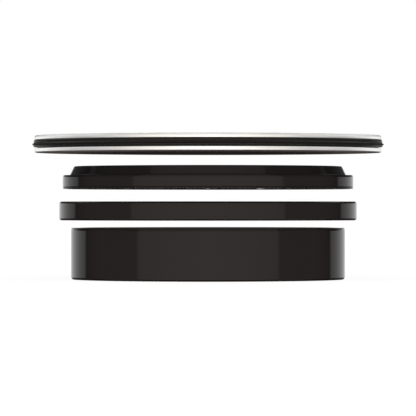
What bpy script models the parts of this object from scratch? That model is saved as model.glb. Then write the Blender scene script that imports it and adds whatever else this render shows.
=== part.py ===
"""Sink-side inlet and cover set of a kitchen garbage disposal, pulled apart along its axis.

Four groups share one vertical axis, from the bottom up: throat collar, clamp ring, guard ring and
cover. Each upper group slides down until it seats on the one below it.
"""
import math

import bmesh
import bpy

MM = 0.001
GAP = 0.3 * MM
TURN = 2 * math.pi
RING_SEGMENTS = 48
SMALL_SEGMENTS = 12
CUT_PAST = 0.2 * MM
WELD = 0.001 * MM
SHARP_ANGLE = math.radians(35)

# Heights of the underside of each group above the floor, as pulled apart
COLLAR_BASE = 0.0
CLAMP_BASE = 19.2 * MM
GUARD_BASE = 29.35 * MM
COVER_BASE = 41.2 * MM

# Throat collar
COLLAR_RADIUS = 44.6 * MM
COLLAR_HEIGHT = 16.8 * MM
COLLAR_FOOT_FILLET = 1.0 * MM
COLLAR_TOP_CHAMFER = 0.4 * MM
COLLAR_BORE = 38.6 * MM
LIP_BORE = 36.4 * MM
LIP_HEIGHT = 3.0 * MM
CORE_POCKET_INNER = 41.0 * MM
CORE_POCKET_OUTER = 42.8 * MM
CORE_POCKET_DEPTH = 12.0 * MM
ORING_GROOVE_RADIUS = 40.0 * MM
ORING_GROOVE_BASE = 8.4 * MM
ORING_GROOVE_HEIGHT = 2.0 * MM
SNAP_GROOVE_RADIUS = 39.3 * MM
SNAP_GROOVE_BASE = 14.7 * MM
SNAP_GROOVE_HEIGHT = 1.6 * MM
LINER_THICKNESS = 0.8 * MM
SNAP_RING_INNER = 37.0 * MM
SNAP_RING_OPENING = math.radians(16)

# Clamp ring
CLAMP_RADIUS = 48.3 * MM
CLAMP_FLARE = 0.15 * MM
CLAMP_HEIGHT = 6.1 * MM
CLAMP_TOP_FILLET = 1.2 * MM
CLAMP_FOOT_FILLET = 0.7 * MM
CLAMP_BORE = 37.8 * MM
CLAMP_FLANGE_UNDERSIDE = 4.4 * MM
CLAMP_SKIRT_BORE = 44.95 * MM
CLAMP_GASKET_INNER = 38.1 * MM
CLAMP_GASKET_OUTER = 44.6 * MM
CLAMP_GASKET_BASE = 3.3 * MM
CLAMP_SCREW_CIRCLE = 41.4 * MM
CLAMP_SCREW_ANGLES = (30, 150, 270)
CLAMP_HEAD_RADIUS = 2.4 * MM
CLAMP_HEAD_RIM = 0.2 * MM
CLAMP_HEAD_TOP = 5.9 * MM
CLAMP_SCREW_TIP = 0.1 * MM
PILOT_DEPTH = 3.9 * MM

# Guard ring
GUARD_RADIUS = 47.3 * MM
GUARD_HEIGHT = 7.4 * MM
GUARD_SHOULDER = 4.5 * MM
GUARD_STEP_TOP_RADIUS = 43.7 * MM
GUARD_STEP_FOOT_RADIUS = 45.0 * MM
GUARD_EDGE = 0.25 * MM
GUARD_SHOULDER_CHAMFER = 0.6 * MM
GUARD_FOOT_CHAMFER = 0.7 * MM
GUARD_BORE = 33.0 * MM
GUARD_RECESS = 37.0 * MM
GUARD_LEDGE = 3.4 * MM
FACE_GROOVE_INNER = 34.2 * MM
FACE_GROOVE_OUTER = 36.6 * MM
FACE_GROOVE_FLOOR = 6.2 * MM
FACE_SEAL_CROWN = 7.35 * MM
FACE_SEAL_ROUND = 0.35 * MM
GUARD_SCREW_CIRCLE = 40.2 * MM
GUARD_SCREW_ANGLES = (90, 210, 330)
GUARD_HEAD_RADIUS = 2.2 * MM
GUARD_HEAD_BASE = 5.8 * MM
GUARD_HEAD_TOP = 7.2 * MM
GUARD_COUNTERBORE = 2.6 * MM
GUARD_COUNTERBORE_FLOOR = 2.1 * MM
KEEPER_RADIUS = 2.5 * MM
KEEPER_BASE = 6.1 * MM
KEEPER_TOP = 7.3 * MM
MAGNET_ANGLES = (30, 150, 270)

# Splash baffle and its retainer
LEAF_COUNT = 6
LEAF_HINGE_OFFSET = 27.5 * MM
LEAF_TIP_OFFSET = 4.0 * MM
LEAF_CORNER_CUT = 2.2 * MM
LEAF_SLIT_HALF = 0.25 * MM
BAFFLE_BASE = 1.9 * MM
BAFFLE_TOP = 3.1 * MM
BAFFLE_RIM_OFFSET = 27.9 * MM
BAFFLE_RIM_RADIUS = 36.7 * MM
RETAINER_INNER = 32.9 * MM
RETAINER_BASE = 0.8 * MM
RETAINER_TOP = 1.6 * MM
RETAINER_SCREW_CIRCLE = 35.0 * MM
RETAINER_SCREW_ANGLES = (60, 180, 300)
RETAINER_SHANK = 0.8 * MM
RETAINER_HEAD_RADIUS = 1.5 * MM
RETAINER_HEAD_BASE = 0.1 * MM
RETAINER_HEAD_TOP = 0.5 * MM
RETAINER_SHANK_TOP = 5.2 * MM
RETAINER_HOLE_TOP = 5.6 * MM

# Screws that share the larger thread
SHANK_RADIUS = 1.25 * MM
SHANK_POINT = 0.9 * MM
DRIVE_RADIUS = 1.0 * MM
DRIVE_DEPTH = 0.7 * MM

# Cover
COVER_HEIGHT = 5.6 * MM
PAN_RADIUS = 56.4 * MM
PAN_TOP = 1.5 * MM
PAN_FLOOR = 0.9 * MM
PAN_RECESS = 54.35 * MM
PAN_ROLL = 0.4 * MM
STEEL_EDGE = 0.25 * MM
PAD_BASE = 0.05 * MM
PAD_TOP = 0.6 * MM
SEAL_BASE = 1.8 * MM
SEAL_TOP = 4.1 * MM
SEAL_INNER = 47.0 * MM
SEAL_LIP_RADIUS = 56.75 * MM
SEAL_GROOVE_RADIUS = 56.6 * MM
SEAL_BEAD_RADIUS = 57.3 * MM
SEAL_BEAD_HEIGHT = 2.65 * MM
SEAL_LIP_EDGE = 0.25 * MM
SEAL_LOWER_GROOVE = 2.3 * MM
SEAL_UPPER_GROOVE = 3.1 * MM
SEAL_UPPER_LIP = 3.35 * MM
SEAL_TOP_BEVEL = 0.45 * MM
PLATE_RADIUS = 56.5 * MM
PLATE_BASE = 4.4 * MM
PLATE_ROLL = 0.8 * MM
DISH_RADIUS = 25.0 * MM
DISH_FLOOR_RADIUS = 22.0 * MM
DISH_FLOOR = 4.95 * MM
MAGNET_CIRCLE = 40.2 * MM
MAGNET_RADIUS = 4.0 * MM
MAGNET_BASE = 2.1 * MM
MAGNET_TOP = 3.5 * MM
COVER_SCREW_CIRCLE = 30.0 * MM
COVER_SCREW_ANGLES = (90, 210, 330)
COVER_SHANK = 1.2 * MM
COVER_SHANK_TOP = 3.8 * MM
COVER_HEAD_RADIUS = 2.5 * MM
COVER_HEAD_BASE = 0.1 * MM
COVER_HEAD_TOP = 0.55 * MM


def clear_scene():
    for obj in list(bpy.data.objects):
        bpy.data.objects.remove(obj, do_unlink=True)


def look(name, color, roughness, metallic=0.0):
    material = bpy.data.materials.new(name)
    material.use_nodes = True
    shader = material.node_tree.nodes["Principled BSDF"]
    shader.inputs["Base Color"].default_value = (*color, 1.0)
    shader.inputs["Roughness"].default_value = roughness
    shader.inputs["Metallic"].default_value = metallic
    return material


def gloss_black(name):
    return look(name, (0.013, 0.0105, 0.0098), 0.12)


def rubber_black(name):
    return look(name, (0.017, 0.016, 0.015), 0.55)


def polished_steel(name):
    return look(name, (0.62, 0.61, 0.60), 0.12, 1.0)


def zinc_steel(name):
    return look(name, (0.52, 0.53, 0.55), 0.3, 1.0)


def group(name, height):
    empty = bpy.data.objects.new(name, None)
    empty.location = (0.0, 0.0, height)
    empty.empty_display_size = 10 * MM
    bpy.context.collection.objects.link(empty)
    return empty


def add_object(name, mesh_data, material, parent):
    bmesh.ops.remove_doubles(mesh_data, verts=mesh_data.verts, dist=WELD)
    bmesh.ops.recalc_face_normals(mesh_data, faces=mesh_data.faces)
    mesh = bpy.data.meshes.new(name)
    mesh_data.to_mesh(mesh)
    mesh_data.free()
    mesh.shade_smooth()
    mesh.set_sharp_from_angle(angle=SHARP_ANGLE)
    if material:
        mesh.materials.append(material)
    obj = bpy.data.objects.new(name, mesh)
    obj.parent = parent
    bpy.context.collection.objects.link(obj)
    return obj


def turn_profile(mesh_data, profile, segments, angle=TURN, center=(0.0, 0.0)):
    """Turns (radius, height) points round the vertical line through center into a closed skin."""
    middle = (center[0], center[1], 0.0)
    points = [mesh_data.verts.new((middle[0] + radius, middle[1], height)) for radius, height in profile]
    on_axis = profile[0][0] == 0.0 and profile[-1][0] == 0.0
    pairs = list(zip(points, points[1:]))
    if not on_axis:
        pairs.append((points[-1], points[0]))
    edges = [mesh_data.edges.new(pair) for pair in pairs]
    whole = angle == TURN
    bmesh.ops.spin(
        mesh_data, geom=points + edges, cent=middle, axis=(0, 0, 1), angle=angle,
        steps=segments, use_merge=whole,
    )
    if not whole:
        open_edges = [edge for edge in mesh_data.edges if edge.is_boundary]
        bmesh.ops.holes_fill(mesh_data, edges=open_edges, sides=0)


def lathe(name, profile, material, parent, segments=RING_SEGMENTS, angle=TURN):
    mesh_data = bmesh.new()
    turn_profile(mesh_data, profile, segments, angle)
    return add_object(name, mesh_data, material, parent)


def on_circle(radius, degrees):
    angle = math.radians(degrees)
    return radius * math.cos(angle), radius * math.sin(angle)


def arc(center, radius, first, last, steps):
    """Points of a fillet, from the angle first to the angle last in degrees."""
    points = []
    for step in range(steps + 1):
        angle = math.radians(first + (last - first) * step / steps)
        points.append((center[0] + radius * math.cos(angle), center[1] + radius * math.sin(angle)))
    return points


def cut_bores(obj, label, profile, circle, angles):
    """Cuts the same turned shape out of obj at each angle of a bolt circle."""
    mesh_data = bmesh.new()
    for degrees in angles:
        turn_profile(mesh_data, profile, SMALL_SEGMENTS, center=on_circle(circle, degrees))
    cutter = add_object(f"{obj.name}_{label}_cutter", mesh_data, None, obj.parent)
    cutter.hide_render = True
    cutter.display_type = "WIRE"
    boolean = obj.modifiers.new(label, "BOOLEAN")
    boolean.operation = "DIFFERENCE"
    boolean.solver = "EXACT"
    boolean.object = cutter


def plain_bore(radius, base, top):
    return [(0.0, base), (radius, base), (radius, top), (0.0, top)]


def stepped_bore(radius, base, wide_radius, floor, top):
    stem = [(0.0, base), (radius, base), (radius, floor)]
    return stem + [(wide_radius, floor), (wide_radius, top), (0.0, top)]


def box_profile(inner, outer, base, top):
    return [(inner, base), (outer, base), (outer, top), (inner, top)]


def make_collar_shell(parent):
    fillet_center = (COLLAR_RADIUS - COLLAR_FOOT_FILLET, COLLAR_FOOT_FILLET)
    groove_top = ORING_GROOVE_BASE + ORING_GROOVE_HEIGHT
    snap_top = SNAP_GROOVE_BASE + SNAP_GROOVE_HEIGHT
    profile = arc(fillet_center, COLLAR_FOOT_FILLET, -90, 0, 3) + [
        (COLLAR_RADIUS, COLLAR_HEIGHT - COLLAR_TOP_CHAMFER),
        (COLLAR_RADIUS - COLLAR_TOP_CHAMFER, COLLAR_HEIGHT),
        (COLLAR_BORE, COLLAR_HEIGHT),
        (COLLAR_BORE, snap_top),
        (SNAP_GROOVE_RADIUS, snap_top),
        (SNAP_GROOVE_RADIUS, SNAP_GROOVE_BASE),
        (COLLAR_BORE, SNAP_GROOVE_BASE),
        (COLLAR_BORE, groove_top),
        (ORING_GROOVE_RADIUS, groove_top),
        (ORING_GROOVE_RADIUS, ORING_GROOVE_BASE),
        (COLLAR_BORE, ORING_GROOVE_BASE),
        (COLLAR_BORE, LIP_HEIGHT),
        (LIP_BORE, LIP_HEIGHT),
        (LIP_BORE, 0.0),
        (CORE_POCKET_INNER, 0.0),
        (CORE_POCKET_INNER, CORE_POCKET_DEPTH),
        (CORE_POCKET_OUTER, CORE_POCKET_DEPTH),
        (CORE_POCKET_OUTER, 0.0),
    ]
    shell = lathe("collar_shell", profile, gloss_black("collar_plastic"), parent)
    pilot = plain_bore(SHANK_RADIUS + GAP, COLLAR_HEIGHT - PILOT_DEPTH, COLLAR_HEIGHT + CUT_PAST)
    cut_bores(shell, "pilots", pilot, CLAMP_SCREW_CIRCLE, CLAMP_SCREW_ANGLES)


def make_throat_liner(parent):
    outer = COLLAR_BORE - 2 * GAP
    profile = box_profile(outer - LINER_THICKNESS, outer, LIP_HEIGHT + GAP, SNAP_GROOVE_BASE)
    lathe("throat_liner", profile, polished_steel("liner_steel"), parent)


def make_liner_oring(parent):
    section = (ORING_GROOVE_HEIGHT - 2 * GAP) / 2
    center = (COLLAR_BORE - GAP + section, ORING_GROOVE_BASE + ORING_GROOVE_HEIGHT / 2)
    profile = arc(center, section, 0, 315, 7)
    lathe("liner_oring", profile, rubber_black("oring_rubber"), parent)


def make_liner_snap_ring(parent):
    base = SNAP_GROOVE_BASE + GAP
    top = SNAP_GROOVE_BASE + SNAP_GROOVE_HEIGHT - GAP
    profile = box_profile(SNAP_RING_INNER, SNAP_GROOVE_RADIUS - GAP, base, top)
    ring = lathe(
        "liner_snap_ring", profile, zinc_steel("snap_ring_steel"), parent,
        angle=TURN - SNAP_RING_OPENING,
    )
    ring.rotation_euler.z = TURN / 4 + SNAP_RING_OPENING / 2


def make_clamp_ring_body(parent):
    foot = CLAMP_RADIUS + CLAMP_FLARE
    top_center = (CLAMP_RADIUS - CLAMP_TOP_FILLET, CLAMP_HEIGHT - CLAMP_TOP_FILLET)
    foot_center = (foot - CLAMP_FOOT_FILLET, CLAMP_FOOT_FILLET)
    profile = (
        arc(foot_center, CLAMP_FOOT_FILLET, -90, 0, 2)
        + [(CLAMP_RADIUS, CLAMP_HEIGHT / 3)]
        + arc(top_center, CLAMP_TOP_FILLET, 0, 90, 3)
        + [
            (CLAMP_BORE, CLAMP_HEIGHT),
            (CLAMP_BORE, CLAMP_FLANGE_UNDERSIDE),
            (CLAMP_SKIRT_BORE, CLAMP_FLANGE_UNDERSIDE),
            (CLAMP_SKIRT_BORE, 0.0),
        ]
    )
    ring = lathe("clamp_ring_body", profile, gloss_black("clamp_ring_plastic"), parent)
    hole = SHANK_RADIUS + GAP
    wide = CLAMP_HEAD_RADIUS + GAP
    below = CLAMP_FLANGE_UNDERSIDE - CUT_PAST
    above = CLAMP_HEIGHT + CUT_PAST
    rim = CLAMP_HEAD_TOP - CLAMP_HEAD_RIM
    countersink = [
        (0.0, below), (hole, below), (hole, rim - (wide - hole)), (wide, rim), (wide, above), (0.0, above),
    ]
    cut_bores(ring, "countersinks", countersink, CLAMP_SCREW_CIRCLE, CLAMP_SCREW_ANGLES)
    cut_bores(ring, "screw_holes", plain_bore(hole, below, above), GUARD_SCREW_CIRCLE, GUARD_SCREW_ANGLES)


def make_clamp_gasket(parent):
    top = CLAMP_FLANGE_UNDERSIDE - GAP
    profile = box_profile(CLAMP_GASKET_INNER, CLAMP_GASKET_OUTER, CLAMP_GASKET_BASE, top)
    gasket = lathe("clamp_gasket", profile, rubber_black("clamp_gasket_rubber"), parent)
    hole = plain_bore(SHANK_RADIUS + GAP, CLAMP_GASKET_BASE - CUT_PAST, top + CUT_PAST)
    cut_bores(gasket, "clamp_holes", hole, CLAMP_SCREW_CIRCLE, CLAMP_SCREW_ANGLES)
    cut_bores(gasket, "guard_holes", hole, GUARD_SCREW_CIRCLE, GUARD_SCREW_ANGLES)


def make_clamp_screws(parent):
    tip = CLAMP_SCREW_TIP
    drive_floor = CLAMP_HEAD_TOP - DRIVE_DEPTH
    rim = CLAMP_HEAD_TOP - CLAMP_HEAD_RIM
    profile = [
        (0.0, tip),
        (SHANK_POINT, tip),
        (SHANK_RADIUS, tip + SHANK_RADIUS - SHANK_POINT),
        (SHANK_RADIUS, rim - (CLAMP_HEAD_RADIUS - SHANK_RADIUS)),
        (CLAMP_HEAD_RADIUS, rim),
        (CLAMP_HEAD_RADIUS, CLAMP_HEAD_TOP),
        (DRIVE_RADIUS, CLAMP_HEAD_TOP),
        (DRIVE_RADIUS, drive_floor),
        (0.0, drive_floor),
    ]
    for number, degrees in enumerate(CLAMP_SCREW_ANGLES, 1):
        name = f"clamp_screw_{number}"
        screw = lathe(name, profile, zinc_steel(f"{name}_steel"), parent, SMALL_SEGMENTS)
        screw.location.xy = on_circle(CLAMP_SCREW_CIRCLE, degrees)


def make_guard_ring_body(parent):
    profile = [
        (GUARD_RECESS, 0.0),
        (GUARD_RADIUS - GUARD_FOOT_CHAMFER, 0.0),
        (GUARD_RADIUS, GUARD_FOOT_CHAMFER),
        (GUARD_RADIUS, GUARD_SHOULDER - GUARD_SHOULDER_CHAMFER),
        (GUARD_RADIUS - GUARD_SHOULDER_CHAMFER, GUARD_SHOULDER),
        (GUARD_STEP_FOOT_RADIUS + GUARD_EDGE, GUARD_SHOULDER),
        (GUARD_STEP_FOOT_RADIUS, GUARD_SHOULDER + GUARD_EDGE),
        (GUARD_STEP_TOP_RADIUS, GUARD_HEIGHT - GUARD_EDGE),
        (GUARD_STEP_TOP_RADIUS - GUARD_EDGE, GUARD_HEIGHT),
        (FACE_GROOVE_OUTER, GUARD_HEIGHT),
        (FACE_GROOVE_OUTER, FACE_GROOVE_FLOOR),
        (FACE_GROOVE_INNER, FACE_GROOVE_FLOOR),
        (FACE_GROOVE_INNER, GUARD_HEIGHT),
        (GUARD_BORE, GUARD_HEIGHT),
        (GUARD_BORE, GUARD_LEDGE),
        (GUARD_RECESS, GUARD_LEDGE),
    ]
    ring = lathe("guard_ring_body", profile, gloss_black("guard_ring_plastic"), parent)
    above = GUARD_HEIGHT + CUT_PAST
    counterbore = stepped_bore(
        SHANK_RADIUS + GAP, -CUT_PAST, GUARD_COUNTERBORE, GUARD_COUNTERBORE_FLOOR, above
    )
    cut_bores(ring, "counterbores", counterbore, GUARD_SCREW_CIRCLE, GUARD_SCREW_ANGLES)
    pocket = plain_bore(KEEPER_RADIUS + GAP, KEEPER_BASE - GAP, above)
    cut_bores(ring, "keeper_pockets", pocket, MAGNET_CIRCLE, MAGNET_ANGLES)
    hole = plain_bore(RETAINER_SHANK + GAP, GUARD_LEDGE - CUT_PAST, RETAINER_HOLE_TOP)
    cut_bores(ring, "retainer_holes", hole, RETAINER_SCREW_CIRCLE, RETAINER_SCREW_ANGLES)


def make_guard_face_seal(parent):
    inner = FACE_GROOVE_INNER + GAP
    outer = FACE_GROOVE_OUTER - GAP
    base = FACE_GROOVE_FLOOR + GAP
    profile = [
        (inner, base),
        (outer, base),
        (outer, FACE_SEAL_CROWN - FACE_SEAL_ROUND),
        (outer - FACE_SEAL_ROUND, FACE_SEAL_CROWN),
        (inner + FACE_SEAL_ROUND, FACE_SEAL_CROWN),
        (inner, FACE_SEAL_CROWN - FACE_SEAL_ROUND),
    ]
    lathe("guard_face_seal", profile, rubber_black("face_seal_rubber"), parent)


def make_baffle_rim(parent):
    """A flat ring whose inner edge is a polygon with one straight side to each leaf."""
    mesh_data = bmesh.new()
    profile = box_profile(BAFFLE_RIM_OFFSET, BAFFLE_RIM_RADIUS, BAFFLE_BASE, BAFFLE_TOP)
    turn_profile(mesh_data, profile, RING_SEGMENTS)
    sector = TURN / LEAF_COUNT
    for vert in mesh_data.verts:
        if vert.co.xy.length < RETAINER_INNER:
            angle = math.atan2(vert.co.y, vert.co.x)
            off_middle = (angle + sector / 2) % sector - sector / 2
            vert.co.xy = vert.co.xy / math.cos(off_middle)
    rim = add_object("baffle_rim", mesh_data, rubber_black("baffle_rim_rubber"), parent)
    hole = plain_bore(RETAINER_SHANK + GAP, BAFFLE_BASE - CUT_PAST, BAFFLE_TOP + CUT_PAST)
    cut_bores(rim, "screw_holes", hole, RETAINER_SCREW_CIRCLE, RETAINER_SCREW_ANGLES)


def make_baffle_leaves(parent):
    """Each leaf's origin is on the lower outer edge, where it bends."""
    slope = math.tan(TURN / LEAF_COUNT / 2)
    corner = LEAF_HINGE_OFFSET - LEAF_CORNER_CUT
    wide = corner * slope - LEAF_SLIT_HALF
    narrow = LEAF_TIP_OFFSET * slope - LEAF_SLIT_HALF
    outline = [
        (0.0, -wide),
        (0.0, wide),
        (-LEAF_CORNER_CUT, wide),
        (LEAF_TIP_OFFSET - LEAF_HINGE_OFFSET, narrow),
        (LEAF_TIP_OFFSET - LEAF_HINGE_OFFSET, -narrow),
        (-LEAF_CORNER_CUT, -wide),
    ]
    for number in range(1, LEAF_COUNT + 1):
        mesh_data = bmesh.new()
        face = mesh_data.faces.new([mesh_data.verts.new((x, y, 0.0)) for x, y in outline])
        made = bmesh.ops.extrude_face_region(mesh_data, geom=[face])
        raised = [item for item in made["geom"] if isinstance(item, bmesh.types.BMVert)]
        bmesh.ops.translate(mesh_data, verts=raised, vec=(0.0, 0.0, BAFFLE_TOP - BAFFLE_BASE))
        name = f"baffle_leaf_{number}"
        leaf = add_object(name, mesh_data, rubber_black(f"{name}_rubber"), parent)
        degrees = math.degrees(TURN) * (number - 1) / LEAF_COUNT
        leaf.location = (*on_circle(LEAF_HINGE_OFFSET, degrees), BAFFLE_BASE)
        leaf.rotation_euler.z = math.radians(degrees)


def make_baffle_retainer(parent):
    profile = box_profile(RETAINER_INNER, BAFFLE_RIM_RADIUS, RETAINER_BASE, RETAINER_TOP)
    ring = lathe("baffle_retainer", profile, polished_steel("retainer_steel"), parent)
    hole = plain_bore(RETAINER_SHANK + GAP, RETAINER_BASE - CUT_PAST, RETAINER_TOP + CUT_PAST)
    cut_bores(ring, "screw_holes", hole, RETAINER_SCREW_CIRCLE, RETAINER_SCREW_ANGLES)


def headed_from_below(shank, shank_top, head, head_base, head_top):
    """Profile of a pan head screw with its head underneath."""
    return [
        (0.0, head_base), (head, head_base), (head, head_top), (shank, head_top), (shank, shank_top),
        (0.0, shank_top),
    ]


def make_retainer_screws(parent):
    profile = headed_from_below(
        RETAINER_SHANK, RETAINER_SHANK_TOP, RETAINER_HEAD_RADIUS, RETAINER_HEAD_BASE, RETAINER_HEAD_TOP
    )
    for number, degrees in enumerate(RETAINER_SCREW_ANGLES, 1):
        name = f"retainer_screw_{number}"
        screw = lathe(name, profile, zinc_steel(f"{name}_steel"), parent, SMALL_SEGMENTS)
        screw.location.xy = on_circle(RETAINER_SCREW_CIRCLE, degrees)


def make_guard_screws(parent):
    """Captive screws, backed out; each origin is on its own axis at the guard ring's underside."""
    drive_floor = GUARD_HEAD_TOP - DRIVE_DEPTH
    profile = [
        (0.0, GAP),
        (SHANK_POINT, GAP),
        (SHANK_RADIUS, GAP + SHANK_RADIUS - SHANK_POINT),
        (SHANK_RADIUS, GUARD_HEAD_BASE),
        (GUARD_HEAD_RADIUS, GUARD_HEAD_BASE),
        (GUARD_HEAD_RADIUS, GUARD_HEAD_TOP),
        (DRIVE_RADIUS, GUARD_HEAD_TOP),
        (DRIVE_RADIUS, drive_floor),
        (0.0, drive_floor),
    ]
    for number, degrees in enumerate(GUARD_SCREW_ANGLES, 1):
        name = f"guard_screw_{number}"
        screw = lathe(name, profile, zinc_steel(f"{name}_steel"), parent, SMALL_SEGMENTS)
        screw.location.xy = on_circle(GUARD_SCREW_CIRCLE, degrees)


def make_keepers(parent):
    profile = plain_bore(KEEPER_RADIUS, KEEPER_BASE, KEEPER_TOP)
    for number, degrees in enumerate(MAGNET_ANGLES, 1):
        name = f"keeper_{number}"
        keeper = lathe(name, profile, zinc_steel(f"{name}_steel"), parent, SMALL_SEGMENTS)
        keeper.location.xy = on_circle(MAGNET_CIRCLE, degrees)


def make_cover_bottom_plate(parent):
    profile = [
        (0.0, PAN_FLOOR),
        (PAN_RECESS, PAN_FLOOR),
        (PAN_RECESS, 0.0),
        *arc((PAN_RADIUS - PAN_ROLL, PAN_ROLL), PAN_ROLL, -90, 0, 3),
        (PAN_RADIUS, PAN_TOP - STEEL_EDGE),
        (PAN_RADIUS - STEEL_EDGE, PAN_TOP),
        (0.0, PAN_TOP),
    ]
    plate = lathe("cover_bottom_plate", profile, polished_steel("bottom_plate_steel"), parent)
    hole = plain_bore(COVER_SHANK + GAP, PAN_FLOOR - CUT_PAST, PAN_TOP + CUT_PAST)
    cut_bores(plate, "screw_holes", hole, COVER_SCREW_CIRCLE, COVER_SCREW_ANGLES)


def make_cover_base_pad(parent):
    pad = lathe(
        "cover_base_pad", plain_bore(PAN_RECESS - GAP, PAD_BASE, PAD_TOP), rubber_black("pad_rubber"), parent
    )
    hole = plain_bore(COVER_HEAD_RADIUS + GAP, PAD_BASE - CUT_PAST, PAD_TOP + CUT_PAST)
    cut_bores(pad, "head_holes", hole, COVER_SCREW_CIRCLE, COVER_SCREW_ANGLES)


def make_cover_seal(parent):
    profile = [
        (SEAL_INNER, SEAL_BASE),
        (SEAL_LIP_RADIUS - SEAL_LIP_EDGE, SEAL_BASE),
        (SEAL_LIP_RADIUS, SEAL_BASE + SEAL_LIP_EDGE),
        (SEAL_GROOVE_RADIUS, SEAL_LOWER_GROOVE),
        (SEAL_BEAD_RADIUS, SEAL_BEAD_HEIGHT),
        (SEAL_GROOVE_RADIUS, SEAL_UPPER_GROOVE),
        (SEAL_LIP_RADIUS, SEAL_UPPER_LIP),
        (SEAL_LIP_RADIUS, SEAL_TOP - SEAL_LIP_EDGE),
        (SEAL_LIP_RADIUS - SEAL_TOP_BEVEL, SEAL_TOP),
        (SEAL_INNER, SEAL_TOP),
    ]
    lathe("cover_seal", profile, rubber_black("seal_rubber"), parent)


def make_cover_core(parent):
    core = lathe(
        "cover_core", plain_bore(SEAL_INNER - GAP, SEAL_BASE, SEAL_TOP), gloss_black("core_plastic"), parent
    )
    pocket = plain_bore(MAGNET_RADIUS + GAP, SEAL_BASE - CUT_PAST, MAGNET_TOP + GAP)
    cut_bores(core, "magnet_pockets", pocket, MAGNET_CIRCLE, MAGNET_ANGLES)
    hole = plain_bore(COVER_SHANK + GAP, SEAL_BASE - CUT_PAST, SEAL_TOP + CUT_PAST)
    cut_bores(core, "screw_holes", hole, COVER_SCREW_CIRCLE, COVER_SCREW_ANGLES)


def make_cover_top_plate(parent):
    profile = [
        (0.0, PLATE_BASE),
        (PLATE_RADIUS - STEEL_EDGE, PLATE_BASE),
        (PLATE_RADIUS, PLATE_BASE + STEEL_EDGE),
        *arc((PLATE_RADIUS - PLATE_ROLL, COVER_HEIGHT - PLATE_ROLL), PLATE_ROLL, 0, 90, 3),
        (DISH_RADIUS, COVER_HEIGHT),
        (DISH_FLOOR_RADIUS, DISH_FLOOR),
        (0.0, DISH_FLOOR),
    ]
    lathe("cover_top_plate", profile, polished_steel("top_plate_steel"), parent)


def make_cover_magnets(parent):
    profile = plain_bore(MAGNET_RADIUS, MAGNET_BASE, MAGNET_TOP)
    for number, degrees in enumerate(MAGNET_ANGLES, 1):
        name = f"cover_magnet_{number}"
        magnet = lathe(name, profile, zinc_steel(f"{name}_nickel"), parent, SMALL_SEGMENTS)
        magnet.location.xy = on_circle(MAGNET_CIRCLE, degrees)


def make_cover_screws(parent):
    profile = headed_from_below(
        COVER_SHANK, COVER_SHANK_TOP, COVER_HEAD_RADIUS, COVER_HEAD_BASE, COVER_HEAD_TOP
    )
    for number, degrees in enumerate(COVER_SCREW_ANGLES, 1):
        name = f"cover_screw_{number}"
        screw = lathe(name, profile, zinc_steel(f"{name}_steel"), parent, SMALL_SEGMENTS)
        screw.location.xy = on_circle(COVER_SCREW_CIRCLE, degrees)


def main():
    clear_scene()
    collar = group("collar", COLLAR_BASE)
    clamp = group("clamp_ring", CLAMP_BASE)
    guard = group("guard_ring", GUARD_BASE)
    cover = group("cover", COVER_BASE)
    for make in (make_collar_shell, make_throat_liner, make_liner_oring, make_liner_snap_ring):
        make(collar)
    for make in (make_clamp_ring_body, make_clamp_gasket, make_clamp_screws):
        make(clamp)
    for make in (
        make_guard_ring_body, make_guard_face_seal, make_baffle_rim, make_baffle_leaves,
        make_baffle_retainer, make_retainer_screws, make_guard_screws, make_keepers,
    ):
        make(guard)
    for make in (
        make_cover_bottom_plate, make_cover_base_pad, make_cover_seal, make_cover_core,
        make_cover_top_plate, make_cover_magnets, make_cover_screws,
    ):
        make(cover)


main()
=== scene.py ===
import math

import bmesh
import bpy
from mathutils import Matrix, Vector


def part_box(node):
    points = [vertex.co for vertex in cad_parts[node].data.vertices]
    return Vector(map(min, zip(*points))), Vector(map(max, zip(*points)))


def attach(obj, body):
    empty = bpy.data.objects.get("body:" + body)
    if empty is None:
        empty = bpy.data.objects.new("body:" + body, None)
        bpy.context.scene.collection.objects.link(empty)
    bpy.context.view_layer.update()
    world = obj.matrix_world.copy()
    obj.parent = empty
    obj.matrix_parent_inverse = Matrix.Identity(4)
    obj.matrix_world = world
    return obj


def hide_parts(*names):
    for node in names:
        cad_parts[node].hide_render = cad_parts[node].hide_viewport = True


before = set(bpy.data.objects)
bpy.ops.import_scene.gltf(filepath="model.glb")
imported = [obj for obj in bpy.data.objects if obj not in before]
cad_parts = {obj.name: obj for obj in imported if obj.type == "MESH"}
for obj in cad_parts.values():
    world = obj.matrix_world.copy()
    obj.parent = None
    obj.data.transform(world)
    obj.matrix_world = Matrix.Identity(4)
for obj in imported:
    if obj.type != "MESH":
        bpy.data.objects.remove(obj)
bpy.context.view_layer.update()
print("frame loaded:", len(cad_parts), "nodes")

mm = 0.001
fullTurn = 2 * math.pi
thirds = [90, 210, 330]          # screws of the upper stack, degrees from +X
betweenThirds = [30, 150, 270]   # magnets, keepers and clamp screws


# one class wraps a socket, and one method adds any node
class Wire:
    def __init__(self, sheet, socket):
        self.sheet = sheet
        self.socket = socket

    def __add__(self, other):
        return self.sheet.maths("ADD", self, other)

    def __radd__(self, other):
        return self.sheet.maths("ADD", other, self)

    def __sub__(self, other):
        return self.sheet.maths("SUBTRACT", self, other)

    def __rsub__(self, other):
        return self.sheet.maths("SUBTRACT", other, self)

    def __mul__(self, other):
        return self.sheet.maths("MULTIPLY", self, other)

    def __rmul__(self, other):
        return self.sheet.maths("MULTIPLY", other, self)

    def __truediv__(self, other):
        return self.sheet.maths("DIVIDE", self, other)

    def __rtruediv__(self, other):
        return self.sheet.maths("DIVIDE", other, self)


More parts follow.
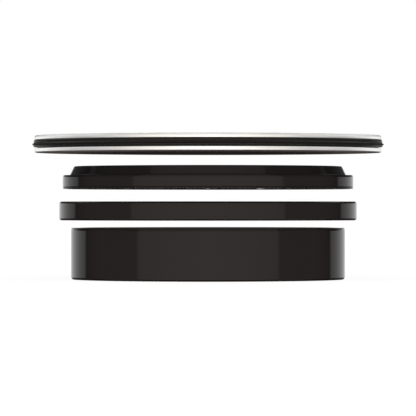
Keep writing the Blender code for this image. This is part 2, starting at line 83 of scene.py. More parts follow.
class Sheet:
    def __init__(self, tree):
        self.tree = tree
        tree.nodes.clear()

    def add(self, kind, settings=None, sockets=None, out=0):
        node = self.tree.nodes.new(kind)
        for key, value in (settings or {}).items():
            if key == "stops":
                self.setStops(node.color_ramp, value)
            else:
                setattr(node, key, value)
        for key, value in (sockets or {}).items():
            if isinstance(value, Wire):
                self.tree.links.new(value.socket, node.inputs[key])
            elif value is not None:
                node.inputs[key].default_value = value
        return Wire(self, node.outputs[out]) if node.outputs else node

    def setStops(self, ramp, stops):
        while len(ramp.elements) < len(stops):
            ramp.elements.new(0.5)
        for element, (place, value) in zip(ramp.elements, stops):
            element.position = place
            element.color = (value, value, value, 1)

    def maths(self, operation, *values):
        return self.add("ShaderNodeMath", {"operation": operation}, dict(enumerate(values)))

    def smoothStep(self, value, low, high, fromValue=0.0, toValue=1.0):
        return self.add("ShaderNodeMapRange", {"interpolation_type": "SMOOTHSTEP"},
                        {0: value, 1: low, 2: high, 3: fromValue, 4: toValue})

    def mixColour(self, share, first, second):
        return self.add("ShaderNodeMix", {"data_type": "RGBA"}, {0: share, 6: first, 7: second}, out=2)

    def tint(self, colour, amount):  # colour times a grey wire
        grey = self.add("ShaderNodeCombineColor", None, {0: amount, 1: amount, 2: amount})
        return self.add("ShaderNodeMix", {"data_type": "RGBA", "blend_type": "MULTIPLY"},
                        {0: 1.0, 6: colour, 7: grey}, out=2)

    def noise(self, place, scale, detail=3.0, roughness=0.5):
        return self.add("ShaderNodeTexNoise", {"noise_dimensions": "3D"},
                        {"Vector": place, "Scale": scale, "Detail": detail, "Roughness": roughness})

    def split(self, vector):  # the x, y and z of a vector
        node = self.add("ShaderNodeSeparateXYZ", None, {0: vector}).socket.node
        return [Wire(self, socket) for socket in node.outputs]


# the room: camera, floor and soft light all round
studio = {
    "cameraAway": 1250 * mm,
    "cameraHeight": 23.2 * mm,
    "sceneWidth": 135.45 * mm,     # what the camera takes in at the object's axis
    "sensorWidth": 36.0,
    "nearest": 0.05,               # what the camera sees, in metres from it
    "farthest": 20.0,
    "floorSize": 3.0,
    "floorGlow": 0.90,
    "floorWhite": 0.3,
    # soft light round the object at eye level, by half turns away from the camera
    "roundStops": [(0.0, 1.14), (0.19, 1.08), (0.30, 0.97), (0.333, 0.90), (0.345, 0.52),
                   (0.47, 0.42), (0.56, 0.31), (0.675, 0.09), (0.686, 0.10), (0.700, 0.46),
                   (0.77, 0.57), (0.83, 0.71), (0.92, 0.85), (1.0, 1.0)],
    "backEdge": (0.66, 0.70),      # half turns over which the front's light gives way to the back's
    "warmEdge": (0.3, 0.4),        # half turns over which warm light turns white
    "frontWarmth": (1.05, 1.0, 0.955, 1.0),
    # how light changes with the angle from eye level: from and to in degrees, then the two shares
    "frontFade": (4, 20, 1.0, 0.64),
    "frontTop": (54, 70, 1.0, 0.05),
    "frontLow": (-30, -5, 1.6, 1.0),
    "backFade": (2.5, 7, 1.0, 0.05),
    "softboxFoot": (22, 30, 0.0, 1.0),
    "softboxTop": (68, 76, 1.0, 0.0),
    "softboxGlow": 0.35,           # a soft box high behind the object
    "faintGlow": 0.035,            # what shines where nothing else does
    # soft panels that light the steel only: turn, rise, radiance
    "panels": [(0, -10, 0.36), (130, 8, 0.62), (-130, 8, 0.62), (0, 75, 0.65), (180, 45, 0.85),
               (90, 30, 0.5), (-90, 30, 0.5), (0, -60, 0.5), (180, -40, 0.4)],
    "panelAway": 1.0,
    "panelSize": 0.9,
}


def makeCamera():
    data = bpy.data.cameras.new("camera")
    camera = bpy.data.objects.new("camera", data)
    bpy.context.scene.collection.objects.link(camera)
    data.sensor_width = studio["sensorWidth"]
    data.lens = studio["sensorWidth"] * studio["cameraAway"] / studio["sceneWidth"]
    data.clip_start = studio["nearest"]
    data.clip_end = studio["farthest"]
    camera.location = (0, -studio["cameraAway"], studio["cameraHeight"])
    camera.rotation_euler = (math.pi / 2, 0, 0)
    bpy.context.scene.camera = camera


def makeRoomLight():
    world = bpy.data.worlds.new("studio")
    bpy.context.scene.world = world
    world.use_nodes = True
    sheet = Sheet(world.node_tree)
    x, y, z = sheet.split(sheet.add("ShaderNodeTexCoord", out="Generated"))  # which way light comes from
    halfTurns = sheet.maths("ABSOLUTE", sheet.maths("ARCTAN2", x, 0 - y)) / math.pi
    rise = sheet.maths("ARCSINE", z) * (180 / math.pi)
    tall = sheet.maths("ABSOLUTE", rise)
    level = sheet.add("ShaderNodeValToRGB", {"stops": studio["roundStops"]}, {0: halfTurns})
    isBack = sheet.smoothStep(halfTurns, *studio["backEdge"])
    frontFade = sheet.smoothStep(tall, *studio["frontFade"]) * sheet.smoothStep(tall, *studio["frontTop"])
    frontFade = frontFade * sheet.smoothStep(rise, *studio["frontLow"])
    backFade = sheet.smoothStep(tall, *studio["backFade"])
    softbox = sheet.smoothStep(rise, *studio["softboxFoot"]) * sheet.smoothStep(rise, *studio["softboxTop"])
    glow = level * (frontFade * (1 - isBack) + backFade * isBack)
    glow = glow + softbox * isBack * studio["softboxGlow"] + studio["faintGlow"]
    isWhite = sheet.smoothStep(halfTurns, *studio["warmEdge"])
    warmth = sheet.mixColour(isWhite, studio["frontWarmth"], (1, 1, 1, 1))
    light = sheet.add("ShaderNodeBackground", None, {"Color": warmth, "Strength": glow})
    white = sheet.add("ShaderNodeBackground", None, {"Color": (1, 1, 1, 1), "Strength": 1.0})
    seen = sheet.add("ShaderNodeLightPath")
    both = sheet.add("ShaderNodeMixShader", None, {0: seen, 1: light, 2: white})
    sheet.add("ShaderNodeOutputWorld", None, {0: both})


def makeSteelPanels(pieces):
    lit = bpy.data.collections.new("steelPieces")
    for piece in pieces:
        lit.objects.link(piece)
    size = studio["panelSize"]
    for turn, rise, radiance in studio["panels"]:
        data = bpy.data.lights.new("panel", "AREA")
        data.size = size
        data.energy = radiance * math.pi * size * size
        panel = bpy.data.objects.new("panel", data)
        bpy.context.scene.collection.objects.link(panel)
        turnAngle = math.radians(turn)
        riseAngle = math.radians(rise)
        out = Vector((math.sin(turnAngle) * math.cos(riseAngle),
                      -math.cos(turnAngle) * math.cos(riseAngle), math.sin(riseAngle)))
        panel.location = out * studio["panelAway"]
        panel.rotation_euler = out.to_track_quat("Z", "Y").to_euler()
        panel.visible_camera = False
        panel.light_linking.receiver_collection = lit


def makeFloor():
    bm = bmesh.new()
    bmesh.ops.create_grid(bm, x_segments=1, y_segments=1, size=studio["floorSize"])
    floor = finishPiece(bm, "floor")
    material = bpy.data.materials.new("paleFloor")
    material.use_nodes = True
    sheet = Sheet(material.node_tree)
    paint = sheet.add("ShaderNodeBsdfDiffuse", None, {"Color": (studio["floorWhite"],) * 3 + (1,)})
    glow = sheet.add("ShaderNodeEmission", None, {"Strength": studio["floorGlow"]})
    lit = sheet.add("ShaderNodeAddShader", None, {0: paint, 1: glow})
    clear = sheet.add("ShaderNodeBsdfTransparent")
    facing = sheet.add("ShaderNodeNewGeometry", out="Backfacing")
    oneSided = sheet.add("ShaderNodeMixShader", None, {0: facing, 1: lit, 2: clear})
    sheet.add("ShaderNodeOutputMaterial", None, {0: oneSided})
    floor.data.materials.append(material)
    floor.visible_glossy = False
    floor.visible_diffuse = False
    floor.visible_shadow = False


# bench tools: rounded profiles turned round the axis, cutters, finished pieces
bench = {
    "turns": 256,          # steps round a big ring
    "smallTurns": 48,      # steps round a screw
    "roundSteps": 5,       # steps in a rounded edge
    "guard": 0.12,         # mm from a rounded edge to its holding loop
    "longLine": 4,         # how many of those a line has to be, to get holding loops
    "sharp": 34,           # degrees between faces that shade as an edge
    "past": 1,             # mm a cutter goes past what it cuts
    "onAxis": 1e-7,        # metres: closer to the axis than this is on it
    "weld": 2e-7,          # metres: points closer than this become one
    "cutWeld": 5e-7,       # the same after a cut
}


def finishPiece(bm, name):
    limit = math.radians(bench["sharp"])
    for face in bm.faces:
        face.smooth = True
    for edge in bm.edges:
        edge.smooth = not edge.is_manifold or edge.calc_face_angle() < limit
    mesh = bpy.data.meshes.new(name)
    bm.to_mesh(mesh)
    bm.free()
    piece = bpy.data.objects.new(name, mesh)
    bpy.context.scene.collection.objects.link(piece)
    return piece


def addGuards(bm):  # a holding loop close to both ends of each long line, so flats shade flat
    guard = bench["guard"] * mm
    for edge in bm.edges[:]:
        long = edge.calc_length()
        if long > bench["longLine"] * guard:
            start, end = edge.verts
            share = guard / long
            near = bmesh.utils.edge_split(edge, start, share)[1]
            rest = [other for other in near.link_edges if end in other.verts][0]
            bmesh.utils.edge_split(rest, end, share / (1 - share))


# a corner of a profile is its radius and height, and often how much it is rounded, all in mm
def turnProfile(corners, steps=None, toAxis=False, centre=(0, 0)):
    bm = bmesh.new()
    made = [bm.verts.new((corner[0] * mm, 0, corner[1] * mm)) for corner in corners]
    bm.faces.new(made)
    for vert, corner in zip(made, corners):
        if len(corner) > 2:
            bmesh.ops.bevel(bm, geom=[vert], offset=corner[2] * mm, offset_type="OFFSET",
                            affect="VERTICES", segments=bench["roundSteps"], profile=0.5, material=-1)
    bmesh.ops.delete(bm, geom=bm.faces[:], context="FACES_ONLY")
    if toAxis:
        onAxis = [edge for edge in bm.edges
                  if all(abs(vert.co.x) < bench["onAxis"] for vert in edge.verts)]
        bmesh.ops.delete(bm, geom=onAxis, context="EDGES")
    addGuards(bm)
    bmesh.ops.spin(bm, geom=bm.verts[:] + bm.edges[:], cent=(0, 0, 0), axis=(0, 0, 1),
                   dvec=(0, 0, 0), angle=fullTurn, steps=steps or bench["turns"], use_merge=True)
    bmesh.ops.remove_doubles(bm, verts=bm.verts, dist=bench["weld"])
    bmesh.ops.recalc_face_normals(bm, faces=bm.faces)
    bmesh.ops.translate(bm, verts=bm.verts, vec=(centre[0] * mm, centre[1] * mm, 0))
    return bm


def onCircle(radius, degrees):
    angle = math.radians(degrees)
    return (radius * math.cos(angle), radius * math.sin(angle))


def plug(radius, low, high, centre, steps=None):  # a round cutter
    return turnProfile([(0, low), (radius, low), (radius, high), (0, high)],
                       steps or bench["smallTurns"], True, centre)


def plugs(radius, low, high, circle, turns, steps=None):  # round cutters on a circle
    return [plug(radius, low, high, onCircle(circle, turn), steps) for turn in turns]


def raiseFaces(bm, height):  # pulls a flat shape up into a closed block
    raised = bmesh.ops.extrude_face_region(bm, geom=bm.faces[:])
    upper = [item for item in raised["geom"] if isinstance(item, bmesh.types.BMVert)]
    bmesh.ops.translate(bm, verts=upper, vec=(0, 0, height * mm))
    bmesh.ops.recalc_face_normals(bm, faces=bm.faces)


def sixSided(acrossFlats, low, high, centre):  # a socket key's shape
    bm = bmesh.new()
    radius = acrossFlats / math.sqrt(3) * mm
    made = bmesh.ops.create_circle(bm, cap_ends=True, segments=6, radius=radius)
    bmesh.ops.translate(bm, verts=made["verts"], vec=(centre[0] * mm, centre[1] * mm, low * mm))
    raiseFaces(bm, high - low)
    return bm


def cutAway(bm, cutters, name):  # takes the cutters out of the shape
    piece = finishPiece(bm, name)
    joined = bmesh.new()
    for cutter in cutters:
        scrap = bpy.data.meshes.new("scrap")
        cutter.to_mesh(scrap)
        cutter.free()
        joined.from_mesh(scrap)
        bpy.data.meshes.remove(scrap)
    tool = finishPiece(joined, "cutter")
    cut = piece.modifiers.new("cut", "BOOLEAN")
    cut.operation = "DIFFERENCE"
    cut.solver = "EXACT"
    cut.object = tool
    whole = bmesh.new()
    whole.from_object(piece, bpy.context.evaluated_depsgraph_get())
    for old in (piece, tool):
        oldMesh = old.data
        bpy.data.objects.remove(old)
        bpy.data.meshes.remove(oldMesh)
    bmesh.ops.remove_doubles(whole, verts=whole.verts, dist=bench["cutWeld"])
    bmesh.ops.dissolve_degenerate(whole, dist=bench["cutWeld"], edges=whole.edges)
    return whole


def place(bm, name, body, slot, material, *nodes):
    piece = finishPiece(bm, name)
    piece.data.materials.append(material)
    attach(piece, body)
    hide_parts(*nodes)
    print("piece:", name, len(piece.data.polygons), "faces")
    return piece


def ends(node):  # outer radius, low and high of a round node, in mm
    low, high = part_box(node)
    return (high.x - low.x) / 2 / mm, low.z / mm, high.z / mm


def middle(node):  # centre of a small round node, in mm
    low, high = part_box(node)
    return ((low.x + high.x) / 2 / mm, (low.y + high.y) / 2 / mm)


def newSheet(name):
    material = bpy.data.materials.new(name)
    material.use_nodes = True
    return material, Sheet(material.node_tree)


def finishSurface(sheet, colour, roughness, height, distance, fixed, metallic=0.0):
    bump = sheet.add("ShaderNodeBump", None, {"Strength": 1.0, "Distance": distance, "Height": height})
    sockets = {"Base Color": colour, "Roughness": roughness, "Metallic": metallic, "Normal": bump}
    sockets.update(fixed)
    surface = sheet.add("ShaderNodeBsdfPrincipled", None, sockets)
    sheet.add("ShaderNodeOutputMaterial", None, {0: surface})


glossLook = {
    "colour": (0.0085, 0.0050, 0.0042, 1),
    "ior": 1.34,
    "roughness": 0.035,
    "cloudSize": 9.0,      # sizes and heights in mm
    "cloudTint": 0.16,
    "smudgeSize": 14.0,
    "smudgeEdge": (0.52, 0.75),
    "smudgeRoughness": 0.05,
    "dustSize": 0.5,
    "dustEdge": (0.74, 0.80),
    "dustTint": 0.8,
    "dustRoughness": 0.15,
    "peelSize": 2.2,
    "peelHeight": 0.0006,
}


def glossPlastic(name, look):
    material, sheet = newSheet(name)
    spot = sheet.add("ShaderNodeTexCoord", out="Object")
    cloud = sheet.noise(spot, 1 / (look["cloudSize"] * mm), 4)
    smudge = sheet.noise(spot, 1 / (look["smudgeSize"] * mm), 5, 0.6)
    smudge = sheet.smoothStep(smudge, *look["smudgeEdge"])
    peel = sheet.noise(spot, 1 / (look["peelSize"] * mm), 1)
    dust = sheet.smoothStep(sheet.noise(spot, 1 / (look["dustSize"] * mm), 2), *look["dustEdge"])
    shade = 1 - look["cloudTint"] / 2 + cloud * look["cloudTint"] + dust * look["dustTint"]
    colour = sheet.tint(look["colour"], shade)
    roughness = look["roughness"] + smudge * look["smudgeRoughness"] + dust * look["dustRoughness"]
    finishSurface(sheet, colour, roughness, peel, look["peelHeight"] * mm, {"IOR": look["ior"]})
    return material


rubberLook = {
    "colour": (0.0066, 0.0056, 0.0052, 1),
    "ior": 1.32,
    "roughness": 0.30,
    "grainSize": 0.35,
    "grainHeight": 0.012,
    "grainTint": 0.2,
    "grainRoughness": 0.08,
    "bloomSize": 11.0,     # bloom is the pale film that old rubber gets
    "bloomEdge": (0.45, 0.75),
    "bloomTint": 0.35,
    "bloomRoughness": 0.12,
    "sheen": 0.0,
    "sheenRoughness": 0.6,
    "paintedGlow": (0, 0, 0, 1),  # painted light: a faint glow of its own, for a face that hardly any light reaches
}


def mouldedRubber(name, look):
    material, sheet = newSheet(name)
    spot = sheet.add("ShaderNodeTexCoord", out="Object")
    grain = sheet.noise(spot, 1 / (look["grainSize"] * mm), 3)
    bloom = sheet.noise(spot, 1 / (look["bloomSize"] * mm), 5, 0.62)
    bloom = sheet.smoothStep(bloom, *look["bloomEdge"])
    shade = 1 - look["grainTint"] / 2 + grain * look["grainTint"] + bloom * look["bloomTint"]
    colour = sheet.tint(look["colour"], shade)
    roughness = look["roughness"] + grain * look["grainRoughness"] + bloom * look["bloomRoughness"]
    # the emission is painted light: a faint glow of the rubber's own, set by each look
    finishSurface(sheet, colour, roughness, grain, look["grainHeight"] * mm,
                  {"IOR": look["ior"], "Sheen Weight": look["sheen"],
                   "Sheen Roughness": look["sheenRoughness"],
                   "Emission Color": look["paintedGlow"], "Emission Strength": 1.0})
    return material


steelLook = {
    "colour": (0.93, 0.925, 0.915, 1),
    "dark": (0.70, 0.695, 0.685, 1),
    "roughness": 0.30,
    "ringSize": 0.16,      # mm between brushed lines
    "ringHeight": 0.0010,
    "ringEdge": (0.25, 0.6),
    "ringShare": 0.8,      # the rest of the colour's change is in patches
    "ringRoughness": 0.12,
    "streak": 5.0,         # how short the brushed lines are
    "patchSize": 16,
    "handledSize": 22,
    "handledEdge": (0.5, 0.72),
    "handledRoughness": 0.07,
}


def brushedSteel(name, look):
    material, sheet = newSheet(name)
    spot = sheet.add("ShaderNodeTexCoord", out="Object")
    x, y, z = sheet.split(spot)
    out = sheet.maths("SQRT", x * x + y * y + 1e-10)  # never zero, since x and y are divided by it
    across = (out + z) / (look["ringSize"] * mm)
    track = sheet.add("ShaderNodeCombineXYZ", None,
                      {0: across, 1: x / out * look["streak"], 2: y / out * look["streak"]})
    lines = sheet.noise(track, 1.0, 3, 0.6)
    patch = sheet.noise(spot, 1 / (look["patchSize"] * mm), 4)
    handled = sheet.noise(spot, 1 / (look["handledSize"] * mm), 5, 0.65)
    handled = sheet.smoothStep(handled, *look["handledEdge"])
    share = look["ringShare"]
    bright = sheet.smoothStep(lines, *look["ringEdge"]) * share + patch * (1 - share)
    colour = sheet.mixColour(bright, look["dark"], look["colour"])
    roughness = look["roughness"] + lines * look["ringRoughness"] + handled * look["handledRoughness"]
    finishSurface(sheet, colour, roughness, lines, look["ringHeight"] * mm, {}, 1.0)
    return material


platedLook = {
    "colour": (0.66, 0.665, 0.65, 1),
    "shade": (0.42, 0.42, 0.41, 1),
    "roughness": 0.24,
    "pitSize": 0.25,
    "pitHeight": 0.002,
    "pitRoughness": 0.12,
    "stainSize": 2.2,
    "stainEdge": (0.42, 0.7),
    "stainRoughness": 0.1,
}


def platedMetal(name, look):
    material, sheet = newSheet(name)
    spot = sheet.add("ShaderNodeTexCoord", out="Object")
    pits = sheet.noise(spot, 1 / (look["pitSize"] * mm), 3)
    stain = sheet.smoothStep(sheet.noise(spot, 1 / (look["stainSize"] * mm), 4), *look["stainEdge"])
    colour = sheet.mixColour(stain, look["colour"], look["shade"])
    roughness = look["roughness"] + pits * look["pitRoughness"] + stain * look["stainRoughness"]
    finishSurface(sheet, colour, roughness, pits, look["pitHeight"] * mm, {}, 1.0)
    return material


# the pad's faint glow is painted light, so its shaded underside still reads as dark grey rubber
padLook = {"colour": (0.105, 0.088, 0.084, 1), "ior": 1.0, "roughness": 0.7, "sheen": 0.05,
           "paintedGlow": (0.0105, 0.0082, 0.0080, 1)}
linerLook = {"roughness": 0.26, "ringSize": 0.35, "ringHeight": 0.0004}
blackGloss = glossPlastic("blackGloss", glossLook)
sealRubber = mouldedRubber("sealRubber", rubberLook)
baffleRubber = mouldedRubber("baffleRubber", {**rubberLook, "roughness": 0.5, "grainSize": 0.5})
plateSteel = brushedSteel("plateSteel", steelLook)
linerSteel = brushedSteel("linerSteel", {**steelLook, **linerLook})
padRubber = mouldedRubber("padRubber", {**rubberLook, **padLook})
zincPlate = platedMetal("zincPlate", platedLook)
nickelPlate = platedMetal("nickelPlate", {**platedLook, "colour": (0.72, 0.70, 0.66, 1), "roughness": 0.14})
print("finishes made")


# sink collar: shell, liner and O-ring
collar = {
    "chamferIn": 0.45, "chamferUp": 0.60, "taperHigh": 0.95, "topTaper": 0.16, "topEdge": 0.15,
    "topFall": 0.7,                                         # the top face falls inward
    "bore": 38.6, "lipBore": 36.4, "lipHeight": 3.0,
    "pocketIn": 41.0, "pocketOut": 42.8, "pocketTop": 12.0,  # hollow between the two walls
    "ringLow": 8.4, "ringHigh": 10.4, "ringDeep": 40.0,      # O-ring's groove
    "snapLow": 14.7, "snapHigh": 16.3, "snapDeep": 39.3,     # snap ring's groove
    "pilotRadius": 1.55, "pilotDeep": 3.9, "pilotCircle": 41.4,
    "linerWall": 0.8, "ringRound": 0.499,                    # a share of the O-ring's thickness
}


def makeCollar(v):
    out, base, top = ends("collar_shell")
    bore = v["bore"]
    lip = base + v["lipHeight"]
    corners = [(out - v["chamferIn"], base, 0.08), (out, base + v["chamferUp"], 0.15),
               (out, top - v["taperHigh"], 0.1), (out - v["topTaper"], top, v["topEdge"]),
               (bore, top - v["topFall"], 0.2), (bore, v["snapHigh"]), (v["snapDeep"], v["snapHigh"]),
               (v["snapDeep"], v["snapLow"]), (bore, v["snapLow"]), (bore, v["ringHigh"], 0.1),
               (v["ringDeep"], v["ringHigh"]), (v["ringDeep"], v["ringLow"]), (bore, v["ringLow"], 0.1),
               (bore, lip, 0.2), (v["lipBore"], lip, 0.3), (v["lipBore"], base, 0.4),
               (v["pocketIn"], base, 0.25), (v["pocketIn"], v["pocketTop"], 0.4),
               (v["pocketOut"], v["pocketTop"], 0.4), (v["pocketOut"], base, 0.25)]
    shell = turnProfile(corners)
    pilots = plugs(v["pilotRadius"], top - v["pilotDeep"], top + 2 * bench["past"], v["pilotCircle"],
                   betweenThirds)
    shell = cutAway(shell, pilots, "collarShell")
    place(shell, "collarShell", "collar", "collar_shell", blackGloss, "collar_shell")

    out, base, top = ends("throat_liner")
    inside = out - v["linerWall"]
    corners = [(out, base, 0.2), (out, top, 0.3), (inside, top, 0.3), (inside, base, 0.2)]
    place(turnProfile(corners), "throatLiner", "collar", "throat_liner", linerSteel, "throat_liner")

    out, base, top = ends("liner_oring")
    inside = out - (top - base)
    full = (top - base) * v["ringRound"]
    corners = [(out, base, full), (out, top, full), (inside, top, full), (inside, base, full)]
    place(turnProfile(corners), "linerOring", "collar", "liner_oring", sealRubber, "liner_oring")


makeCollar(collar)

# clamp ring: body and gasket
clamp = {
    "chamferIn": 0.40, "chamferUp": 0.56, "wallFoot": 1.6, "flare": 0.03,
    "topChamferIn": 0.42, "topChamferDown": 0.54,
    "bore": 37.8, "flangeUnder": 4.4, "skirtBore": 44.95,
    "screwCircle": 41.4, "screwHole": 1.4, "sinkRadius": 2.6, "sinkDeep": 1.35, "sinkRim": 0.15,
    "guideCircle": 40.2, "guideHole": 1.55,
    "gasketIn": 38.1, "gasketHole": 1.55, "gasketBead": 0.22, "beads": 4, "beadHalf": 0.4,
}


def makeClamp(v):
    past = bench["past"]
    out, base, top = ends("clamp_ring_body")
    under = base + v["flangeUnder"]
    wall = out - v["flare"]
    corners = [(out - v["chamferIn"], base, 0.08), (out, base + v["chamferUp"], 0.15),
               (wall, base + v["wallFoot"], 0.3), (wall, top - v["topChamferDown"], 0.15),
               (wall - v["topChamferIn"], top, 0.1), (v["bore"], top, 0.35), (v["bore"], under, 0.3),
               (v["skirtBore"], under, 0.4), (v["skirtBore"], base, 0.35)]
    ring = turnProfile(corners)
    sunk = [(0, base - past), (v["screwHole"], base - past), (v["screwHole"], top - v["sinkDeep"]),
            (v["sinkRadius"], top - v["sinkRim"]), (v["sinkRadius"], top + past), (0, top + past)]
    tools = [turnProfile(sunk, bench["smallTurns"], True, onCircle(v["screwCircle"], turn))
             for turn in betweenThirds]
    tools += plugs(v["guideHole"], base - past, top + past, v["guideCircle"], thirds)
    ring = cutAway(ring, tools, "clampRing")
    place(ring, "clampRing", "clamp_ring", "clamp_ring_body", blackGloss, "clamp_ring_body")

    out, base, top = ends("clamp_gasket")
    inside = v["gasketIn"]
    flat = base + v["gasketBead"]
    corners = [(out, flat, 0.1), (out, top, 0.15), (inside, top, 0.15), (inside, flat, 0.1)]
    for bead in range(v["beads"]):
        at = inside + (out - inside) * (bead + 0.5) / v["beads"]
        corners += [(at - v["beadHalf"], flat, 0.1), (at, base, 0.15), (at + v["beadHalf"], flat, 0.1)]
    gasket = turnProfile(corners)
    holes = plugs(v["gasketHole"], base - past, top + past, v["screwCircle"], betweenThirds)
    holes += plugs(v["gasketHole"], base - past, top + past, v["guideCircle"], thirds)
    gasket = cutAway(gasket, holes, "clampGasket")
    place(gasket, "clampGasket", "clamp_ring", "clamp_gasket", sealRubber, "clamp_gasket")


makeClamp(clamp)

# guard ring: body, face seal, retainer and keepers
guard = {
    "lipTaper": 0.06, "foot": 0.12, "lipTop": 0.42, "lipGroove": 0.14, "lipGap": 0.32,
    "shoulder": 4.5, "shoulderRound": 0.6, "shoulderTaper": 0.24,
    "coneFoot": 45.0, "coneTop": 43.6, "edge": 0.3,
    "grooveIn": 34.2, "grooveOut": 36.6, "grooveFloor": 6.2,
    "bore": 33.0, "ledge": 3.4, "recess": 37.0,
    "underRise": 1.2, "underWall": 45.6, "underRim": 46.25,  # the underside is relieved
    "screwCircle": 40.2, "screwHole": 1.45, "headHole": 2.6, "headFloor": 2.1,
    "keeperHole": 2.8, "keeperFloor": 5.8,
    "keeperRim": 0.42, "keeperWell": 0.34, "keeperDeep": 0.25,  # two shares of its radius, and mm
    "sealIn": 34.5, "retainerIn": 32.9,
    "retainerTurns": (60, 180, 300), "retainerCircle": 35.0, "retainerHole": 0.95,
    "retainerDeep": 2, "retainerSteps": 24,
}


def makeGuard(v):
    past = bench["past"]
    out, base, top = ends("guard_ring_body")
    shoulder = base + v["shoulder"]
    ledge = base + v["ledge"]
    grooveFloor = base + v["grooveFloor"]
    headFloor = base + v["headFloor"]
    lip = base + v["lipTop"]
    relief = base + v["underRise"]
    corners = [(out - v["lipTaper"], base, v["foot"]), (out, lip, 0.04),
               (out - v["lipGroove"], lip + v["lipGap"] / 2, 0.03), (out, lip + v["lipGap"], 0.04),
               (out, shoulder - v["shoulderRound"], 0.2), (out - v["shoulderTaper"], shoulder, 0.1),
               (v["coneFoot"], shoulder, 0.15), (v["coneTop"], top, v["edge"]),
               (v["grooveOut"], top, 0.12), (v["grooveOut"], grooveFloor), (v["grooveIn"], grooveFloor),
               (v["grooveIn"], top, 0.12), (v["bore"], top, 0.3), (v["bore"], ledge, 0.2),
               (v["recess"], ledge, 0.1), (v["recess"], relief, 0.2), (v["underWall"], relief, 0.3),
               (v["underRim"], base, 0.12)]
    ring = turnProfile(corners)
    stepped = [(0, base - past), (v["screwHole"], base - past), (v["screwHole"], headFloor),
               (v["headHole"], headFloor), (v["headHole"], top + past), (0, top + past)]
    tools = [turnProfile(stepped, bench["smallTurns"], True, onCircle(v["screwCircle"], turn))
             for turn in thirds]
    tools += plugs(v["keeperHole"], base + v["keeperFloor"], top + past, v["screwCircle"], betweenThirds)
    tools += plugs(v["retainerHole"], ledge - past, ledge + v["retainerDeep"], v["retainerCircle"],
                   v["retainerTurns"], v["retainerSteps"])
    ring = cutAway(ring, tools, "guardRing")
    place(ring, "guardRing", "guard_ring", "guard_ring_body", blackGloss, "guard_ring_body")

    out, base, top = ends("guard_face_seal")
    inside = v["sealIn"]
    corners = [(out, base, 0.15), (out, top, 0.55), (inside, top, 0.55), (inside, base, 0.15)]
    seal = turnProfile(corners)
    place(seal, "guardFaceSeal", "guard_ring", "guard_face_seal", sealRubber, "guard_face_seal")

    out, base, top = ends("baffle_retainer")
    inside = v["retainerIn"]
    corners = [(out, base, 0.2), (out, top, 0.1), (inside, top, 0.1), (inside, base, 0.2)]
    plate = turnProfile(corners)
    holes = plugs(v["retainerHole"], base - past, top + past, v["retainerCircle"], v["retainerTurns"],
                  v["retainerSteps"])
    plate = cutAway(plate, holes, "baffleRetainer")
    place(plate, "baffleRetainer", "guard_ring", "baffle_retainer", linerSteel, "baffle_retainer")

    for number in (1, 2, 3):
        node = "keeper_%d" % number
        out, base, top = ends(node)
        well = top - v["keeperDeep"]
        corners = [(0, base), (out, base, 0.15), (out, top, 0.35), (out * v["keeperRim"], top, 0.1),
                   (out * v["keeperWell"], well, 0.1), (0, well)]
        disc = turnProfile(corners, bench["smallTurns"], True, middle(node))
        place(disc, "keeper%d" % number, "guard_ring", node, nickelPlate, node)


makeGuard(guard)

# cover: top plate, seal, bottom pan and pad
cover = {
    "topRoll": 0.75, "rimLip": 0.35, "lipWidth": 1.6, "lipSlope": 0.5,
    "dishOut": 25.0, "dishIn": 22.0, "dishDeep": 0.65,
    "sealIn": 47.0, "sealFoot": 0.5, "footOut": 55.4, "sealWall": 56.75, "lowWall": 0.42,
    "bead": 0.84, "dip": 1.35, "wallDip": 56.6, "highWall": 1.85, "topBevel": 0.42,
    "panFoot": 0.13, "panRoll": 0.18, "panRecess": 56.1, "panFloor": 0.9, "panWall": 1.28,
    "screwCircle": 30.0, "panHole": 1.5, "padHole": 2.8, "padGap": 0.05,
    # round grooves in the pad: how many, how deep, from its edge to the first, and from one to the next
    "padRings": 11, "padGroove": 0.18, "padBorder": 3.0, "padPitch": 4.5,
    "grooveMouth": 0.6, "grooveFloor": 0.3,                  # half widths
}


